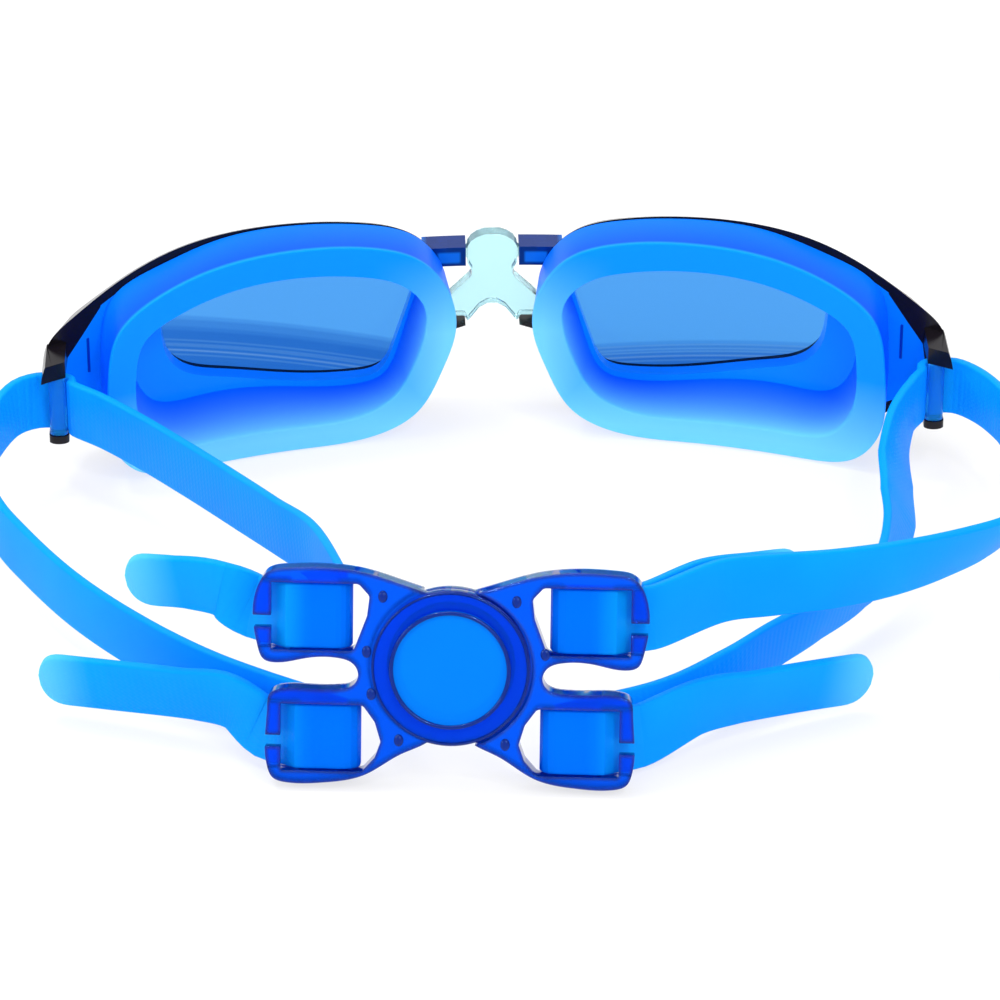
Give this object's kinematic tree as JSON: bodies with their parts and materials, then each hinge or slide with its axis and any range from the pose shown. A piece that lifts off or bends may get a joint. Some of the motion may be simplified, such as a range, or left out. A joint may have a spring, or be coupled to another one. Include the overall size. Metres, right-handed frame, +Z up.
{
  "type": "swim goggles",
  "caption": "Wraparound swim goggles with curved lenses, soft eye seals, a flexible nose bridge and split elastic straps threaded through a swivelling back clip.",
  "frame": {"origin": "bottom centre of the bounding box of the whole part, with the straps lying relaxed", "axes": "+X to the wearer's right, +Y forward through the lenses, +Z up"},
  "size_m": [0.19, 0.1396, 0.0421],
  "materials": {
    "lens_tint": "polished tinted optical plastic, see-through",
    "shell_dark": "polished black moulding",
    "frame_blue": "polished translucent moulding",
    "seal_silicone": "smooth translucent silicone",
    "strap_silicone": "smooth satin silicone",
    "bridge_clear": "clear soft moulding",
    "bar_clear": "clear tinted moulding",
    "clip_blue": "polished see-through moulding",
    "button_blue": "polished see-through moulding"
  },
  "bodies": {
    "bridge": {"nose_bridge": "bridge_clear"},
    "left_cup": {"left_lens": "lens_tint", "left_front_shell": "shell_dark", "left_inner_frame": "frame_blue", "left_gasket": "seal_silicone", "left_strap_bar": "bar_clear", "left_strap": "strap_silicone"},
    "right_cup": {"right_lens": "lens_tint", "right_front_shell": "shell_dark", "right_inner_frame": "frame_blue", "right_gasket": "seal_silicone", "right_strap_bar": "bar_clear", "right_strap": "strap_silicone"},
    "clip_left": {"clip_left_wing": "clip_blue", "clip_disc": "button_blue", "clip_retainer": "clip_blue"},
    "clip_right": {"clip_right_wing": "clip_blue"}
  },
  "joints": [
    {"name": "left_cup_flex", "type": "hinge", "parent": "bridge", "child": "left_cup", "pos_m": [-0.00767, 0.06599, 0.02798], "axis": [0, 0, 1], "range_deg": [-8, 14], "stiffness_Nm_per_rad": 0.3, "deforming": ["nose_bridge"]},
    {"name": "right_cup_flex", "type": "hinge", "parent": "bridge", "child": "right_cup", "pos_m": [0.00433, 0.06599, 0.02798], "axis": [0, 0, 1], "range_deg": [-14, 8], "stiffness_Nm_per_rad": 0.3},
    {"name": "strap_stretch", "type": "slide", "parent": "bridge", "child": "clip_left", "axis": [0, -1, 0], "range_m": [0, 0.04], "stiffness_N_per_m": 250, "deforming": ["left_strap", "right_strap"]},
    {"name": "clip_swivel", "type": "hinge", "parent": "clip_left", "child": "clip_right", "pos_m": [-0.01267, -0.0598, 0.01993], "axis": [-0.0767, -0.9532, 0.2924], "range_deg": [-8, 8], "stiffness_Nm_per_rad": 0.05}
  ]
}
